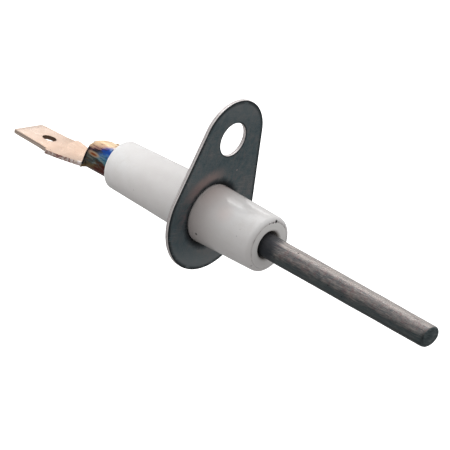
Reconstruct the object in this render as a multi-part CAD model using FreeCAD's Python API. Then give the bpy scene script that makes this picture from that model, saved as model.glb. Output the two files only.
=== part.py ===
import FreeCAD, Part
import math
import os

# Ignition electrode: a solid metal rod in a white ceramic insulator, held by a
# thin stamped flange with one screw hole, with a push-on tab crimped on the
# rear end of the rod.
#
# Frame: the electrode's axis is +X, pointing at the free tip of the rod. The
# origin is on that axis, in the plane of the flange's front (seating) face.
# +Z goes from the axis to the screw hole. Millimetres.

V = FreeCAD.Vector

# ---- electrode rod --------------------------------------------------------
ROD_R = 1.50               # solid heat-resistant wire, 3 mm
ROD_TIP_X = 36.95          # free end
ROD_REAR_X = -18.20        # rear end, inside the crimp barrel
ROD_TIP_ROUND = 0.16       # cropped and tumbled edge
ROD_REAR_ROUND = 0.10

# ---- ceramic insulator ----------------------------------------------------
INS_FRONT_X = 9.70
INS_REAR_X = -15.35
INS_FRONT_R = 3.59         # at the front end
INS_SHOULDER_R = 3.785     # front section where it meets the flange
INS_SHOULDER_X = -0.20     # step that the flange collar stops against
INS_SEAT_R = 3.682         # rear section just behind the step
INS_REAR_R = 3.105         # at the rear end
INS_FRONT_ROUND = 0.60
INS_REAR_ROUND = 0.62
BORE_R = 1.75              # bore for the rod, 0.25 mm clearance all round
BORE_MOUTH_ROUND = 0.14

# ---- flange ---------------------------------------------------------------
FL_T = 0.50                # sheet thickness
FL_BIG_R = 7.35            # round end, centred on the electrode's axis
FL_SMALL_R = 5.12          # screw end, centred on the screw hole
FL_PITCH = 9.62            # axis to screw hole
SCREW_R = 2.15             # M4 clearance hole, 4.3 mm
LIP_R = 0.62               # radius where the face rolls into the collar
COLLAR_LEN = 2.00          # drawn collar, behind the front face
COLLAR_GAP = 0.02          # collar to ceramic, radial
COLLAR_WALL = 0.46
FL_EDGE_ROUND = 0.10       # blanking roll-over on the front edges

# ---- terminal: tab, neck and crimp barrel from one strip ------------------
TAB_T = 0.50               # strip thickness
TAB_TIP_X = -30.40
TAB_SHOULDER_X = -24.20    # 6.2 mm blade
TAB_TIP_HALF = 2.45
TAB_ROOT_HALF = 2.56
SHOULDER_HALF = 2.78
NECK_X = -19.60
NECK_HALF = 2.05
FOOT_HALF = 0.90           # flat foot of the barrel
TAB_ROLL_DEG = 3.5         # the blade sits slightly rolled about the axis
TAB_LEAD = 0.45            # lead-in bevel length at the tip
TAB_LEAD_DROP = 0.13
TAB_CORNER = 0.35
DETENT_R = 0.95            # latching hole
DETENT_X = -26.80
BARREL_OUT_R = 2.00
BARREL_IN_R = 1.52
BARREL_FRONT_X = -15.42
BARREL_REAR_X = -19.35
BARREL_TOP_X = -17.20      # the wings are full height from here forward
WING_ROUND = 2.15          # side-view rounding of the wings
SEAM_HALF = 0.09           # gap between the two wings, on top

# ---- cement in the bore, and the brazed end -------------------------------
CEMENT_REAR_X = -15.10
CEMENT_FRONT_X = -2.00
CEMENT_IN_R = 1.51
CEMENT_OUT_R = 1.74
BRAZE_DOME = 0.42


def revolve(points_or_edges):
    """Turn a closed profile, given in the XZ plane (r along +Z), about X."""
    wire = Part.Wire(points_or_edges)
    face = Part.Face(wire)
    return face.revolve(V(0, 0, 0), V(1, 0, 0), 360)


def p(x, r):
    return V(x, 0, r)


def seg(a, b):
    return Part.LineSegment(a, b).toShape()


def arc(a, m, b):
    return Part.Arc(a, m, b).toShape()


def solid_of(shape):
    """The single solid of a shape."""
    s = shape.Solids
    assert len(s) == 1, "expected one solid, got %d" % len(s)
    out = s[0]
    assert out.isValid() and out.Volume > 0
    return out


def cyl(r, x0, x1, y=0.0, z=0.0):
    return Part.makeCylinder(r, x1 - x0, V(x0, y, z), V(1, 0, 0))


# ---------------------------------------------------------------------------
def electrode_rod():
    t, q = ROD_TIP_ROUND, ROD_REAR_ROUND
    k = 1 - math.sqrt(0.5)
    a = p(ROD_REAR_X, 0)
    b = p(ROD_REAR_X, ROD_R - q)
    c = p(ROD_REAR_X + q, ROD_R)
    d = p(ROD_TIP_X - t, ROD_R)
    e = p(ROD_TIP_X, ROD_R - t)
    f = p(ROD_TIP_X, 0)
    edges = [seg(a, b),
             arc(b, p(ROD_REAR_X + q * k, ROD_R - q * k), c),
             seg(c, d),
             arc(d, p(ROD_TIP_X - t * k, ROD_R - t * k), e),
             seg(e, f), seg(f, a)]
    return solid_of(revolve(edges))


def ins_rear_r(x):
    """Radius of the rear section's taper at x."""
    u = (x - INS_REAR_X) / (INS_SHOULDER_X - INS_REAR_X)
    return INS_REAR_R + u * (INS_SEAT_R - INS_REAR_R)


def insulator():
    pts = [p(INS_REAR_X, BORE_R), p(INS_REAR_X, INS_REAR_R),
           p(INS_SHOULDER_X, INS_SEAT_R), p(INS_SHOULDER_X, INS_SHOULDER_R),
           p(INS_FRONT_X, INS_FRONT_R), p(INS_FRONT_X, BORE_R)]
    edges = [seg(pts[i], pts[(i + 1) % len(pts)]) for i in range(len(pts))]
    body = solid_of(revolve(edges))

    def ring(x, r):
        out = []
        for e in body.Edges:
            c = e.Curve
            if isinstance(c, Part.Circle) and abs(c.Center.x - x) < 1e-4 \
                    and abs(c.Radius - r) < 1e-3:
                out.append(e)
        return out

    body = body.makeFillet(INS_FRONT_ROUND, ring(INS_FRONT_X, INS_FRONT_R))
    body = body.makeFillet(INS_REAR_ROUND, ring(INS_REAR_X, INS_REAR_R))
    body = body.makeFillet(BORE_MOUTH_ROUND, ring(INS_FRONT_X, BORE_R))
    return solid_of(body)


def teardrop_face():
    """Outline of the flange in the plane X = -FL_T: two arcs and the two
    straight sides that are tangent to both."""
    s = (FL_BIG_R - FL_SMALL_R) / FL_PITCH
    c = math.sqrt(1 - s * s)
    x = -FL_T
    a = V(x, FL_BIG_R * c, FL_BIG_R * s)
    b = V(x, FL_SMALL_R * c, FL_PITCH + FL_SMALL_R * s)
    top = V(x, 0, FL_PITCH + FL_SMALL_R)
    b2 = V(x, -b.y, b.z)
    a2 = V(x, -a.y, a.z)
    low = V(x, 0, -FL_BIG_R)
    wire = Part.Wire([seg(a, b), arc(b, top, b2), seg(b2, a2),
                      arc(a2, low, a)])
    return Part.Face(wire)


def mounting_flange():
    plate = solid_of(teardrop_face().extrude(V(FL_T, 0, 0)))
    plate = plate.cut(cyl(SCREW_R, -FL_T - 1, 1, 0, FL_PITCH))
    plate = solid_of(plate)
    # roll-over on the front edges: the outline and the screw hole
    front = [e for e in plate.Edges
             if all(abs(v.Point.x) < 1e-6 for v in e.Vertexes)
             and abs(e.BoundBox.XMin) < 1e-6]
    plate = solid_of(plate.makeFillet(FL_EDGE_ROUND, front))
    plate = plate.cut(cyl(5.2, -FL_T - 1, 1))

    # the ring around the insulator: the face rolls into a drawn collar
    r_in0 = ins_rear_r(-LIP_R) + COLLAR_GAP
    r_in1 = ins_rear_r(-COLLAR_LEN) + COLLAR_GAP
    rc = r_in0 + LIP_R
    k = LIP_R * math.sqrt(0.5)
    r_out0 = r_in0 + COLLAR_WALL
    edges = [seg(p(0, 5.2), p(0, rc)),
             arc(p(0, rc), p(-LIP_R + k, rc - k), p(-LIP_R, r_in0)),
             seg(p(-LIP_R, r_in0), p(-COLLAR_LEN, r_in1)),
             seg(p(-COLLAR_LEN, r_in1), p(-COLLAR_LEN, r_in1 + COLLAR_WALL)),
             seg(p(-COLLAR_LEN, r_in1 + COLLAR_WALL), p(-FL_T - 0.16, r_out0)),
             arc(p(-FL_T - 0.16, r_out0),
                 p(-FL_T - 0.047, r_out0 + 0.047),
                 p(-FL_T, r_out0 + 0.16)),
             seg(p(-FL_T, r_out0 + 0.16), p(-FL_T, 5.2)),
             seg(p(-FL_T, 5.2), p(0, 5.2))]
    ring = revolve(edges)
    return solid_of(plate.fuse(ring).removeSplitter())


def terminal():
    z0 = -BARREL_OUT_R
    # strip outline, from the barrel's foot to the tip, mirrored about y = 0
    half = [(BARREL_FRONT_X, FOOT_HALF),
            (BARREL_REAR_X + 0.15, FOOT_HALF),
            (BARREL_REAR_X + 0.05, NECK_HALF - 0.25),
            (NECK_X, NECK_HALF),
            (TAB_SHOULDER_X + 0.30, SHOULDER_HALF),
            (TAB_SHOULDER_X + 0.08, SHOULDER_HALF - 0.02),
            (TAB_SHOULDER_X, SHOULDER_HALF - 0.10),
            (TAB_SHOULDER_X - 0.02, TAB_ROOT_HALF),
            (TAB_TIP_X + TAB_CORNER, TAB_TIP_HALF),
            (TAB_TIP_X, TAB_TIP_HALF - TAB_CORNER * 0.55)]
    pts = [V(x, y, z0) for x, y in half] + \
          [V(x, -y, z0) for x, y in reversed(half)]
    edges = [seg(pts[i], pts[(i + 1) % len(pts)]) for i in range(len(pts))]
    strip = solid_of(Part.Face(Part.Wire(edges)).extrude(V(0, 0, TAB_T)))

    # lead-in bevels at the tip, above and below
    def wedge(z_face, sgn):
        tri = [V(TAB_TIP_X - 0.02, -4, z_face - sgn * TAB_LEAD_DROP),
               V(TAB_TIP_X + TAB_LEAD, -4, z_face),
               V(TAB_TIP_X + TAB_LEAD, -4, z_face + sgn * 0.3),
               V(TAB_TIP_X - 0.02, -4, z_face + sgn * 0.3)]
        w = Part.Wire([seg(tri[i], tri[(i + 1) % 4]) for i in range(4)])
        return Part.Face(w).extrude(V(0, 8, 0))

    strip = strip.cut(wedge(z0 + TAB_T, 1)).cut(wedge(z0, -1))
    strip = strip.cut(Part.makeCylinder(DETENT_R, 3, V(DETENT_X, 0, z0 - 1),
                                        V(0, 0, 1)))
    strip = solid_of(strip)
    strip.rotate(V(0, 0, z0 + TAB_T / 2), V(1, 0, 0), TAB_ROLL_DEG)

    # barrel: the strip's two wings closed round the rod
    tube = cyl(BARREL_OUT_R, BARREL_REAR_X, BARREL_FRONT_X)
    # side view of the wings, rounded down to the neck
    zc = BARREL_OUT_R - WING_ROUND
    k = WING_ROUND * math.sqrt(0.5)
    xr = BARREL_TOP_X - WING_ROUND
    side = [seg(V(BARREL_FRONT_X, -3, -2.6), V(BARREL_FRONT_X, -3, 2.0)),
            seg(V(BARREL_FRONT_X, -3, 2.0), V(BARREL_TOP_X, -3, 2.0)),
            arc(V(BARREL_TOP_X, -3, 2.0), V(BARREL_TOP_X - k, -3, zc + k),
                V(xr, -3, zc)),
            seg(V(xr, -3, zc), V(xr, -3, -2.6)),
            seg(V(xr, -3, -2.6), V(BARREL_FRONT_X, -3, -2.6))]
    mask = Part.Face(Part.Wire(side)).extrude(V(0, 6, 0))
    tube = tube.common(mask)
    body = tube.fuse(strip)
    body = body.cut(cyl(BARREL_IN_R, BARREL_REAR_X - 0.35, BARREL_FRONT_X + 1))
    body = body.cut(Part.makeBox(6, 2 * SEAM_HALF, 2,
                                 V(-20.5, -SEAM_HALF, 0.8)))
    return solid_of(body.removeSplitter())


def bore_cement():
    tube = cyl(CEMENT_OUT_R, CEMENT_REAR_X, CEMENT_FRONT_X)
    return solid_of(tube.cut(cyl(CEMENT_IN_R, CEMENT_REAR_X - 1,
                                 CEMENT_FRONT_X + 1)))


def braze_bead():
    r = ROD_R - ROD_REAR_ROUND - 0.01
    x0 = ROD_REAR_X - 0.005
    x1 = x0 - 0.10                      # straight flank, then a low dome
    h = BRAZE_DOME - 0.10
    big = (r * r + h * h) / (2 * h)
    t = 0.5 * math.asin(r / big)
    mid = p(x1 - h + big * (1 - math.cos(t)), big * math.sin(t))
    edges = [seg(p(x0, 0), p(x0, r)), seg(p(x0, r), p(x1, r)),
             arc(p(x1, r), mid, p(x1 - h, 0)),
             seg(p(x1 - h, 0), p(x0, 0))]
    return solid_of(revolve(edges))


NODES = {
    "electrode_rod": electrode_rod,
    "insulator": insulator,
    "mounting_flange": mounting_flange,
    "terminal_tab": terminal,
    "bore_cement": bore_cement,
    "braze_bead": braze_bead,
}

os.makedirs("parts", exist_ok=True)
for name, make in NODES.items():
    shape = make()
    shape.exportStep("parts/%s.step" % name)
    b = shape.BoundBox
    print("%-16s vol %9.3f mm3  x %.2f..%.2f  y %.2f..%.2f  z %.2f..%.2f" % (
        name, shape.Volume, b.XMin, b.XMax, b.YMin, b.YMax, b.ZMin, b.ZMax))
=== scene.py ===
import math
import random

import bpy
from mathutils import Matrix, Vector


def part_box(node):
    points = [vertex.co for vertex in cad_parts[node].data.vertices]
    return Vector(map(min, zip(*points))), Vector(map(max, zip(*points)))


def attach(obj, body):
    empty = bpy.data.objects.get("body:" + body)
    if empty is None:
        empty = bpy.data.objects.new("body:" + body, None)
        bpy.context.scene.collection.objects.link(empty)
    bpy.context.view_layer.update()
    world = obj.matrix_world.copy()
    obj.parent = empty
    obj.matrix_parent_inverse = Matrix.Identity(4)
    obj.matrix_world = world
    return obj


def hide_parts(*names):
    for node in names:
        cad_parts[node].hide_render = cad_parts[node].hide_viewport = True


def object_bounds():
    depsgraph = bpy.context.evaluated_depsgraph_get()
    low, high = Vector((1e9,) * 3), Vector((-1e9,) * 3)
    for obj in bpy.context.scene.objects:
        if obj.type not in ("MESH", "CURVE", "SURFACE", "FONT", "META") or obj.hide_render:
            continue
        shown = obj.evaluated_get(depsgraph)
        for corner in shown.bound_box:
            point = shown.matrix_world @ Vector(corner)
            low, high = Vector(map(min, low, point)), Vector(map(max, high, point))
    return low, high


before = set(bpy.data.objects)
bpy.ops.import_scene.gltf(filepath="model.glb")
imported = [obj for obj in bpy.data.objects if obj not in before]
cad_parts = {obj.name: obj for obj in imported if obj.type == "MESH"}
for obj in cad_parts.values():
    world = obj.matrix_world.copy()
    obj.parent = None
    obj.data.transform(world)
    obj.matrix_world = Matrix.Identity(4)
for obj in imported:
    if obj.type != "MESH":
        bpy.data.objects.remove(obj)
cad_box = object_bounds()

MM = 0.001
SCENE = bpy.context.scene


def node_box(name):
    """A CAD node's box, in millimetres."""
    lo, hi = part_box(name)
    return ([c / MM for c in lo], [c / MM for c in hi])


ROD = node_box("electrode_rod")
INS = node_box("insulator")
FLG = node_box("mounting_flange")
TAB = node_box("terminal_tab")

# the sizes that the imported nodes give
ROD_R = ROD[1][2]
ROD_X0, ROD_X1 = ROD[0][0], ROD[1][0]
INS_X0, INS_X1 = INS[0][0], INS[1][0]
FL_BIG_R = -FLG[0][2]
FL_SMALL_R = 5.12
FL_PITCH = FLG[1][2] - FL_SMALL_R
FL_T = 0.50
SCREW_R = 2.15
TAB_X0, TAB_X1 = TAB[0][0], TAB[1][0]


# ---------------------------------------------------------------------------
# mesh helpers
# ---------------------------------------------------------------------------
def make_mesh(name, verts, faces, smooth=True):
    me = bpy.data.meshes.new(name)
    me.from_pydata([Vector(v) * MM for v in verts], [], faces)
    me.validate()
    me.update()
    ob = bpy.data.objects.new(name, me)
    SCENE.collection.objects.link(ob)
    if smooth:
        for p in me.polygons:
            p.use_smooth = True
    return ob


def arc_pts(cx, cr, rad, a0, a1, n):
    """Points of an arc in the (x, r) half plane, angles in degrees."""
    out = []
    for i in range(n + 1):
        a = math.radians(a0 + (a1 - a0) * i / n)
        out.append((cx + rad * math.cos(a), cr + rad * math.sin(a)))
    return out


def divide(a, b, n):
    """n - 1 points strictly between a and b, then b."""
    return [(a[0] + (b[0] - a[0]) * i / n, a[1] + (b[1] - a[1]) * i / n)
            for i in range(1, n + 1)]


def wobble(seed, amp, n=7, fx=(0.15, 0.9), fa=(1, 4)):
    """A smooth irregularity over (x, angle): a sum of a few waves."""
    rnd = random.Random(seed)
    waves = []
    for _ in range(n):
        waves.append((rnd.uniform(*fx), rnd.randint(*fa),
                      rnd.uniform(0, 6.283), rnd.uniform(0.4, 1.0)))
    tot = sum(w[3] for w in waves)

    def f(x, a):
        return amp * sum(w[3] * math.sin(w[0] * x + w[1] * a + w[2])
                         for w in waves) / tot * 2.0
    return f


def lathe(name, prof, segs, closed=False, dr=None, dx=None):
    """Turn a profile [(x, r)] about X. An open profile starts and ends on
    the axis. dr and dx move a point by a little, from (x, angle, r)."""
    verts, faces, rings = [], [], []
    for (x, r) in prof:
        if r < 1e-6:
            rings.append([len(verts)])
            verts.append((x, 0, 0))
            continue
        ring = []
        for k in range(segs):
            a = 2 * math.pi * k / segs
            rr = r + (dr(x, a, r) if dr else 0)
            xx = x + (dx(x, a, r) if dx else 0)
            ring.append(len(verts))
            verts.append((xx, rr * math.cos(a), rr * math.sin(a)))
        rings.append(ring)
    m = len(rings)
    for i in range(m if closed else m - 1):
        A, B = rings[i], rings[(i + 1) % m]
        for k in range(segs):
            k2 = (k + 1) % segs
            if len(A) == 1:
                faces.append((A[0], B[k], B[k2]))
            elif len(B) == 1:
                faces.append((A[k], B[0], A[k2]))
            else:
                faces.append((A[k], B[k], B[k2], A[k2]))
    ob = make_mesh(name, verts, faces)
    fix_normals(ob)
    return ob


def fix_normals(ob):
    import bmesh
    bm = bmesh.new()
    bm.from_mesh(ob.data)
    bmesh.ops.remove_doubles(bm, verts=bm.verts, dist=1e-7)
    bmesh.ops.recalc_face_normals(bm, faces=bm.faces)
    bm.to_mesh(ob.data)
    bm.free()


def sharp_by_angle(ob, deg):
    """Smooth shading that breaks at real corners."""
    import bmesh
    bm = bmesh.new()
    bm.from_mesh(ob.data)
    lim = math.radians(deg)
    for e in bm.edges:
        if len(e.link_faces) == 2 and e.calc_face_angle() > lim:
            e.smooth = False
    bm.to_mesh(ob.data)
    bm.free()


def place(ob, node):
    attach(ob, "root")
    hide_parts(node)


# ---------------------------------------------------------------------------
# node helpers
# ---------------------------------------------------------------------------
class Nodes:
    def __init__(self, name):
        self.mat = bpy.data.materials.new(name)
        self.mat.use_nodes = True
        self.t = self.mat.node_tree
        self.t.nodes.clear()
        self.out = self.t.nodes.new("ShaderNodeOutputMaterial")
        self.bsdf = self.t.nodes.new("ShaderNodeBsdfPrincipled")
        self.t.links.new(self.bsdf.outputs[0], self.out.inputs[0])
        tc = self.t.nodes.new("ShaderNodeTexCoord")
        self.obj = tc.outputs["Object"]
        self.nrm = tc.outputs["Normal"]
        # millimetre coordinates
        self.mm = self.vscale(self.obj, (1000, 1000, 1000))
        s = self.t.nodes.new("ShaderNodeSeparateXYZ")
        self.link(self.mm, s.inputs[0])
        self.x, self.y, self.z = s.outputs

    def link(self, a, b):
        self.t.links.new(a, b)

    def put(self, sock, v):
        if isinstance(v, bpy.types.NodeSocket):
            self.link(v, sock)
        else:
            sock.default_value = v

    def vscale(self, v, s):
        m = self.t.nodes.new("ShaderNodeMapping")
        self.link(v, m.inputs["Vector"])
        m.inputs["Scale"].default_value = s
        return m.outputs[0]

    def combine(self, x, y, z):
        c = self.t.nodes.new("ShaderNodeCombineXYZ")
        self.put(c.inputs[0], x)
        self.put(c.inputs[1], y)
        self.put(c.inputs[2], z)
        return c.outputs[0]

    def math(self, op, a, b=None, c=None, clamp=False):
        n = self.t.nodes.new("ShaderNodeMath")
        n.operation = op
        n.use_clamp = clamp
        self.put(n.inputs[0], a)
        if b is not None:
            self.put(n.inputs[1], b)
        if c is not None:
            self.put(n.inputs[2], c)
        return n.outputs[0]

    def add(self, a, b): return self.math("ADD", a, b)
    def sub(self, a, b): return self.math("SUBTRACT", a, b)
    def mul(self, a, b): return self.math("MULTIPLY", a, b)

    def ramp01(self, v, lo, hi, smooth=True):
        """0 at lo, 1 at hi (lo may be above hi)."""
        n = self.t.nodes.new("ShaderNodeMapRange")
        n.interpolation_type = "SMOOTHSTEP" if smooth else "LINEAR"
        self.link(v, n.inputs["Value"])
        a, b, p, q = (lo, hi, 0.0, 1.0) if lo < hi else (hi, lo, 1.0, 0.0)
        n.inputs["From Min"].default_value = a
        n.inputs["From Max"].default_value = b
        n.inputs["To Min"].default_value = p
        n.inputs["To Max"].default_value = q
        return n.outputs[0]

    def remap(self, v, a, b, p, q):
        n = self.t.nodes.new("ShaderNodeMapRange")
        self.link(v, n.inputs["Value"])
        n.inputs["From Min"].default_value = a
        n.inputs["From Max"].default_value = b
        n.inputs["To Min"].default_value = p
        n.inputs["To Max"].default_value = q
        return n.outputs[0]

    def noise(self, scale=1.0, detail=3.0, rough=0.5, vec=None, stretch=None,
              dist=0.0, shift=None):
        v = vec or self.mm
        if stretch or shift:
            m = self.t.nodes.new("ShaderNodeMapping")
            self.link(v, m.inputs["Vector"])
            if stretch:
                m.inputs["Scale"].default_value = stretch
            if shift:
                m.inputs["Location"].default_value = shift
            v = m.outputs[0]
        n = self.t.nodes.new("ShaderNodeTexNoise")
        self.link(v, n.inputs["Vector"])
        n.inputs["Scale"].default_value = scale
        n.inputs["Detail"].default_value = detail
        n.inputs["Roughness"].default_value = rough
        n.inputs["Distortion"].default_value = dist
        return n.outputs["Fac"]

    def specks(self, scale, size, stretch=None, shift=None):
        """1 in small scattered dots."""
        v = self.mm
        if stretch or shift:
            m = self.t.nodes.new("ShaderNodeMapping")
            self.link(v, m.inputs["Vector"])
            if stretch:
                m.inputs["Scale"].default_value = stretch
            if shift:
                m.inputs["Location"].default_value = shift
            v = m.outputs[0]
        n = self.t.nodes.new("ShaderNodeTexVoronoi")
        self.link(v, n.inputs["Vector"])
        n.inputs["Scale"].default_value = scale
        d = n.outputs["Distance"]
        pick = self.t.nodes.new("ShaderNodeSeparateColor")
        self.link(n.outputs["Color"], pick.inputs[0])
        # a dot's size differs from cell to cell, and most cells have none
        s = self.remap(pick.outputs[0], 0.62, 1.0, 0.0, size)
        return self.ramp01(self.sub(s, d), -0.3 * size, 0.15 * size)

    def mix(self, fac, a, b, mode="MIX"):
        n = self.t.nodes.new("ShaderNodeMix")
        n.data_type = "RGBA"
        n.blend_type = mode
        n.clamp_factor = True
        self.put(n.inputs["Factor"], fac)
        for sock, v in ((n.inputs["A"], a), (n.inputs["B"], b)):
            pass
        ca = [s for s in n.inputs if s.name == "A" and s.type == "RGBA"][0]
        cb = [s for s in n.inputs if s.name == "B" and s.type == "RGBA"][0]
        self.put(ca, a if isinstance(a, bpy.types.NodeSocket) else (*a, 1))
        self.put(cb, b if isinstance(b, bpy.types.NodeSocket) else (*b, 1))
        return [s for s in n.outputs if s.type == "RGBA"][0]

    def ramp(self, v, stops, interp="LINEAR"):
        n = self.t.nodes.new("ShaderNodeValToRGB")
        self.link(v, n.inputs[0])
        n.color_ramp.interpolation = interp
        el = n.color_ramp.elements
        while len(el) > 1:
            el.remove(el[-1])
        el[0].position = stops[0][0]
        el[0].color = (*stops[0][1], 1)
        for p, c in stops[1:]:
            e = el.new(p)
            e.color = (*c, 1)
        return n.outputs[0]

    def bump(self, height, dist, strength=1.0, base=None):
        """dist in mm"""
        n = self.t.nodes.new("ShaderNodeBump")
        n.inputs["Strength"].default_value = strength
        n.inputs["Distance"].default_value = dist * MM
        self.link(height, n.inputs["Height"])
        if base is not None:
            self.link(base, n.inputs["Normal"])
        return n.outputs[0]

    def spot(self, p, r, soft=0.5):
        """1 within r mm of the point p, fading out by r * (1 + soft)."""
        n = self.t.nodes.new("ShaderNodeVectorMath")
        n.operation = "DISTANCE"
        self.link(self.mm, n.inputs[0])
        n.inputs[1].default_value = p
        return self.ramp01(n.outputs["Value"], r * (1 + soft), r * (1 - soft))

    def radius(self):
        n = self.t.nodes.new("ShaderNodeVectorMath")
        n.operation = "LENGTH"
        self.link(self.combine(0.0, self.y, self.z), n.inputs[0])
        return n.outputs["Value"]

    def angle(self):
        """Angle about the axis in degrees: 0 at -Y, 90 at +Z, up to 270."""
        a = self.math("ARCTAN2", self.z, self.mul(self.y, -1.0))
        return self.mul(a, 180 / math.pi)

    def finish(self, color, rough, metallic=0.0, normal=None, **sockets):
        b = self.bsdf
        self.put(b.inputs["Base Color"], color)
        self.put(b.inputs["Roughness"], rough)
        self.put(b.inputs["Metallic"], metallic)
        if normal is not None:
            self.link(normal, b.inputs["Normal"])
        for k, v in sockets.items():
            b.inputs[k.replace("_", " ")].default_value = v
        return self.mat


def srgb(r, g, b):
    def f(c):
        c /= 255
        return c / 12.92 if c <= 0.04045 else ((c + 0.055) / 1.055) ** 2.4
    return (f(r), f(g), f(b))


# ---------------------------------------------------------------------------
# materials
# ---------------------------------------------------------------------------
def mat_ceramic():
    n = Nodes("glazed_ceramic")
    # broad tone, fired body mottle, fine grain
    broad = n.noise(0.16, 2, 0.5)
    mott = n.noise(0.9, 4, 0.6, dist=0.4)
    grain = n.noise(9.0, 3, 0.6)
    col = n.ramp(broad, [(0.36, (0.765, 0.742, 0.732)),
                         (0.50, (0.805, 0.788, 0.780)),
                         (0.64, (0.835, 0.828, 0.826))])
    col = n.mix(n.ramp01(mott, 0.42, 0.75), col, (0.78, 0.762, 0.748))
    col = n.mix(n.mul(n.ramp01(grain, 0.55, 0.78), 0.25), col,
                (0.70, 0.685, 0.67))
    # painted shade and reflection from the flange: the glazed end is darker and pinker
    # next to it
    flange_shade_and_reflection = n.mul(n.ramp01(n.add(n.x, n.mul(mott, 1.6)), 6.2, 0.8),
                  n.ramp01(n.x, -0.4, 0.2))
    col = n.mix(n.mul(flange_shade_and_reflection, 0.92), col, (0.600, 0.520, 0.497))
    # painted shade: the glazed end is greyer everywhere below its top
    col = n.mix(n.mul(n.mul(n.ramp01(n.x, -0.3, 0.1), n.ramp01(n.z, 3.1, 1.2)),
                      0.42), col, (0.680, 0.655, 0.645))
    # a faint pink cloud half way along
    cloud = n.mul(n.spot((4.3, -3.0, 1.9), 0.9, 0.9), 0.35)
    col = n.mix(cloud, col, (0.80, 0.66, 0.63))
    # the edge of the glaze on the front face: a thin, broken, dirty line
    r = n.radius()
    front = n.ramp01(n.x, INS_X1 - 0.55, INS_X1 - 0.30)
    wav = n.mul(n.sub(n.noise(0.8, 3, 0.6, shift=(0, 3, 5)), 0.5), 0.30)
    dist = n.math("ABSOLUTE", n.sub(n.add(r, wav), 2.98))
    brk = n.noise(1.25, 4, 0.75, shift=(4.1, 0.4, 2.2))
    thick = n.remap(brk, 0.42, 0.66, -0.02, 0.085)
    line = n.mul(n.ramp01(n.sub(thick, dist), -0.035, 0.02), front)
    # strongest along the top and the near side
    part = n.math("MAXIMUM", n.ramp01(n.z, 1.4, 2.6),
                  n.mul(n.ramp01(n.y, -1.5, -2.4), n.ramp01(n.z, -2.2, -1.2)))
    line = n.mul(line, n.remap(part, 0, 1, 0.30, 1.0))
    col = n.mix(n.mul(line, 0.88), col, (0.075, 0.065, 0.066))
    halo = n.mul(n.mul(n.ramp01(dist, 0.30, 0.05), front), part)
    col = n.mix(n.mul(halo, 0.30), col, (0.52, 0.46, 0.45))
    # unglazed ground end face: greyer and matt, and paler towards the top, which is
    # painted light
    face = n.mul(n.ramp01(r, 3.02, 2.90), front)
    col = n.mix(n.mul(face, n.remap(n.z, -2.6, 2.6, 0.10, 0.85)), col,
                (0.93, 0.92, 0.90))
    # painted shade: the bore mouth is darkened to brown
    mouth = n.mul(n.ramp01(n.add(r, n.mul(mott, 0.3)), 2.30, 1.92), front)
    col = n.mix(n.mul(mouth, 0.50), col, (0.50, 0.46, 0.40))
    # painted shade inside the bore: brownish, then near black deeper in
    bore = n.ramp01(r, 1.86, 1.78)
    col = n.mix(n.mul(bore, 0.55), col, (0.42, 0.37, 0.32))
    col = n.mix(n.mul(n.mul(bore, n.ramp01(n.x, INS_X1 - 0.9, INS_X1 - 2.2)),
                      0.85), col, (0.060, 0.052, 0.047))
    # iron specks in the glaze
    for p, s, a in (((INS_X1, 0.08, 3.09), 0.21, 1.0),
                    ((INS_X1, -0.42, 2.93), 0.11, 0.9),
                    ((INS_X1, 0.55, 3.02), 0.10, 0.5),
                    ((INS_X1, -1.04, 2.80), 0.10, 0.7),
                    ((1.13, -3.06, -2.02), 0.17, 0.95),
                    ((7.4, -3.62, 0.35), 0.07, 0.35),
                    ((INS_X1 - 0.15, 1.95, 2.55), 0.15, 0.45),
                    ((INS_X1 - 0.1, -2.0, -2.65), 0.12, 0.35),
                    ((3.1, -1.2, -3.5), 0.10, 0.5),
                    ((5.6, 3.4, 1.2), 0.12, 0.7),
                    ((-6.2, 2.8, -1.9), 0.12, 0.6),
                    ((-11.4, -0.6, -3.2), 0.10, 0.6)):
        col = n.mix(n.mul(n.spot(p, s, 0.45), a), col, (0.025, 0.022, 0.026))
    col = n.mix(n.mul(n.specks(0.75, 0.075, shift=(0.3, 0.9, 2.0)), 0.55),
                col, (0.34, 0.31, 0.30))
    # a tiny painted highlight on the front rim
    col = n.mix(n.mul(n.spot((INS_X1 - 0.02, -0.95, 3.02), 0.09, 0.5), 0.9), col,
                (0.98, 0.97, 0.96))
    # metal rub from the collar on the rear section and a stain at its end
    rub = n.mul(n.mul(n.ramp01(n.x, -3.4, -2.1), n.ramp01(n.x, -0.6, -1.2)),
                n.ramp01(n.noise(1.2, 3, 0.6), 0.42, 0.62))
    col = n.mix(n.mul(rub, 0.35), col, (0.42, 0.41, 0.41))
    stain = n.mul(n.ramp01(n.add(n.x, n.mul(mott, 0.6)), INS_X0 + 0.9,
                           INS_X0 + 0.25), n.ramp01(r, 2.75, 2.1))
    col = n.mix(n.mul(stain, 0.5), col, (0.50, 0.44, 0.38))
    # gloss: glazed front, satin rear, matt end faces
    glaze = n.ramp01(n.x, -0.3, 0.1)
    rough = n.remap(glaze, 0, 1, 0.40, 0.17)
    rough = n.add(rough, n.mul(n.sub(mott, 0.5), 0.09))
    rough = n.math("MAXIMUM", rough, n.mul(n.math("MAXIMUM", face, bore), 0.52))
    rough = n.add(rough, n.mul(line, 0.3))
    # surface: a slow swell in the glaze, an orange-peel, fine grain
    peel = n.noise(0.55, 2, 0.5, shift=(7, 1, 0))
    b = n.bump(peel, 0.040, 1.0)
    b = n.bump(mott, 0.016, 1.0, b)
    b = n.bump(grain, 0.004, 0.8, b)
    b = n.bump(n.mul(line, -1.0), 0.02, 0.8, b)
    return n.finish(col, rough, 0.0, b, Coat_Weight=0.0, Specular_IOR_Level=0.5,
                    IOR=1.55, Subsurface_Weight=0.0)


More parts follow.
